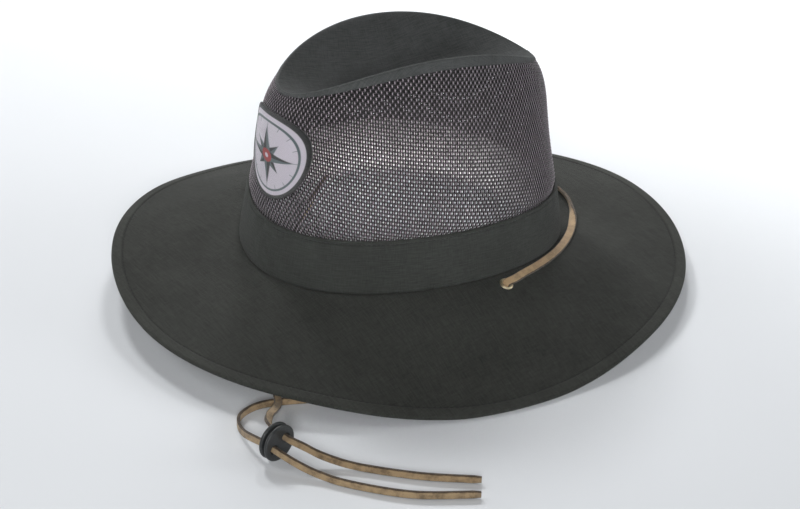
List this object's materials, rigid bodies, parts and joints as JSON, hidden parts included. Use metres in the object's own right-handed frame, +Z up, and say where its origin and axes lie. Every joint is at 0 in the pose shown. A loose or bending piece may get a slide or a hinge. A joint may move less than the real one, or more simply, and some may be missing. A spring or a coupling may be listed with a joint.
{
  "type": "safari hat",
  "caption": "Wide-brimmed safari hat with an open-mesh crown wall, cotton tip, band and brim, a round front patch and a flat leather chin lace with eyelets and a slide",
  "frame": {"origin": "on the table, at the bottom centre of the hat's box without its loose lace and slide", "axes": "+Z up off the table; the hat faces -Y and +X is its wearer's left; it is longest along Y and lowest along Z"},
  "size_m": [0.3836, 0.3699, 0.1587],
  "materials": {
    "cotton": "matt black cotton canvas",
    "net": "open knitted mesh",
    "lining": "pale cotton sweatband",
    "patch": "embroidered cloth",
    "leather": "flat cut lace, suede face and darker edges",
    "brass": "pressed eyelet, slightly worn",
    "moulded": "moulded, fine grain"
  },
  "bodies": {
    "root": {"brim": "cotton", "hatband": "cotton", "sweatband": "lining", "crown_tip": "cotton", "crown_mesh": "net", "front_patch": "patch", "eyelet_left": "brass", "eyelet_right": "brass", "lace_top": "leather", "lace_left": "leather", "lace_right": "leather", "cord_slide": "moulded"}
  },
  "joints": []
}
